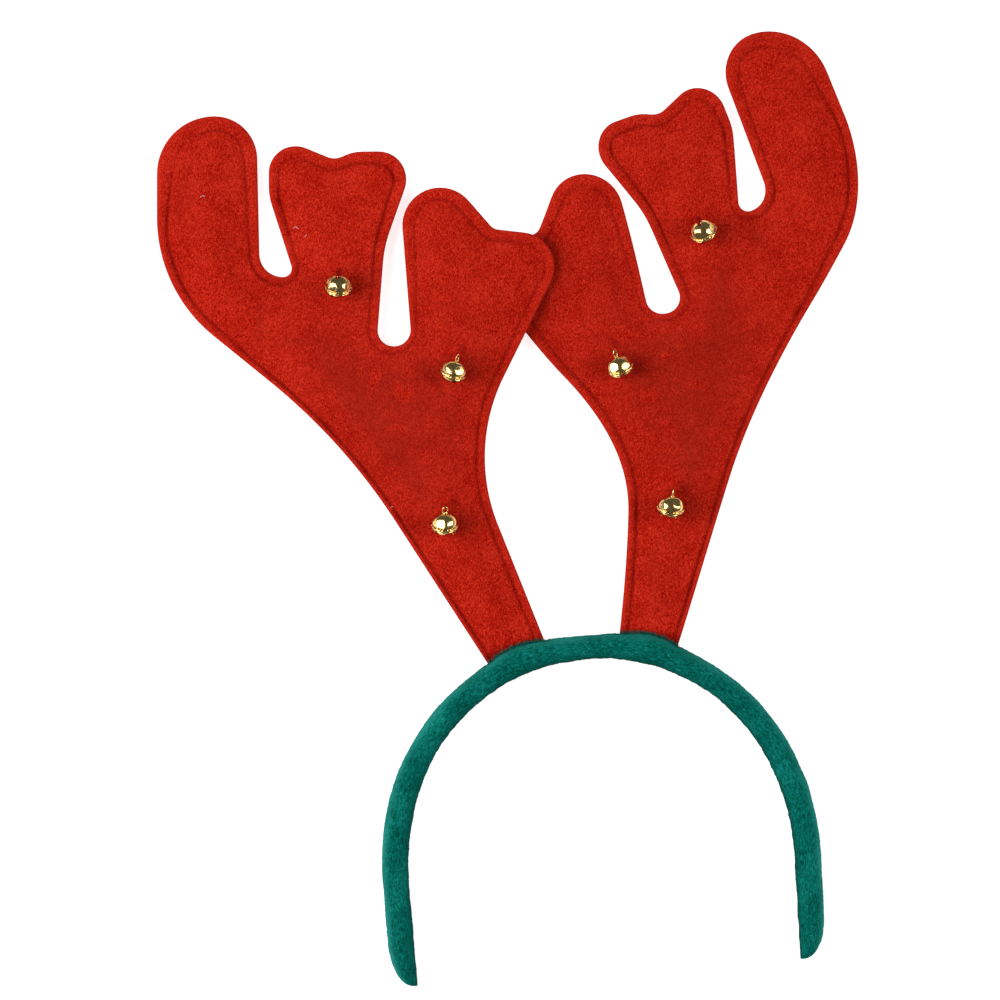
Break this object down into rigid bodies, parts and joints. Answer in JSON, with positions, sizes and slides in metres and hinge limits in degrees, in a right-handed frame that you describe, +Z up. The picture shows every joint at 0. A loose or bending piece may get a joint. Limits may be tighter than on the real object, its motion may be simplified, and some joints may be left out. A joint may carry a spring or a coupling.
{
  "type": "reindeer antler headband",
  "caption": "Padded plush headband with flat, lightly stuffed felt reindeer antlers and small jingle bells sewn to their fronts, lying on its back.",
  "frame": {"origin": "under the middle of the bounding box, on the surface that the headband lies on", "axes": "+X to the viewer's right, +Y from the tips of the band's legs to the antlers, +Z up off the surface, which is also the way the headband's front faces"},
  "size_m": [0.2528, 0.3334, 0.0199],
  "materials": {
    "green_plush": "short-pile plush",
    "red_felt": "brushed felt",
    "gold_metal": "polished",
    "steel_pellet": "plain"
  },
  "bodies": {
    "root": {"band": "green_plush", "antler_left_front": "red_felt", "antler_left_back": "red_felt", "antler_right_front": "red_felt", "antler_right_back": "red_felt", "bell_left_upper": "gold_metal", "bell_left_middle": "gold_metal", "bell_left_lower": "gold_metal", "bell_right_upper": "gold_metal", "bell_right_middle": "gold_metal", "bell_right_lower": "gold_metal", "pellet_left_upper": "steel_pellet", "pellet_left_middle": "steel_pellet", "pellet_left_lower": "steel_pellet", "pellet_right_upper": "steel_pellet", "pellet_right_middle": "steel_pellet", "pellet_right_lower": "steel_pellet"}
  },
  "joints": []
}
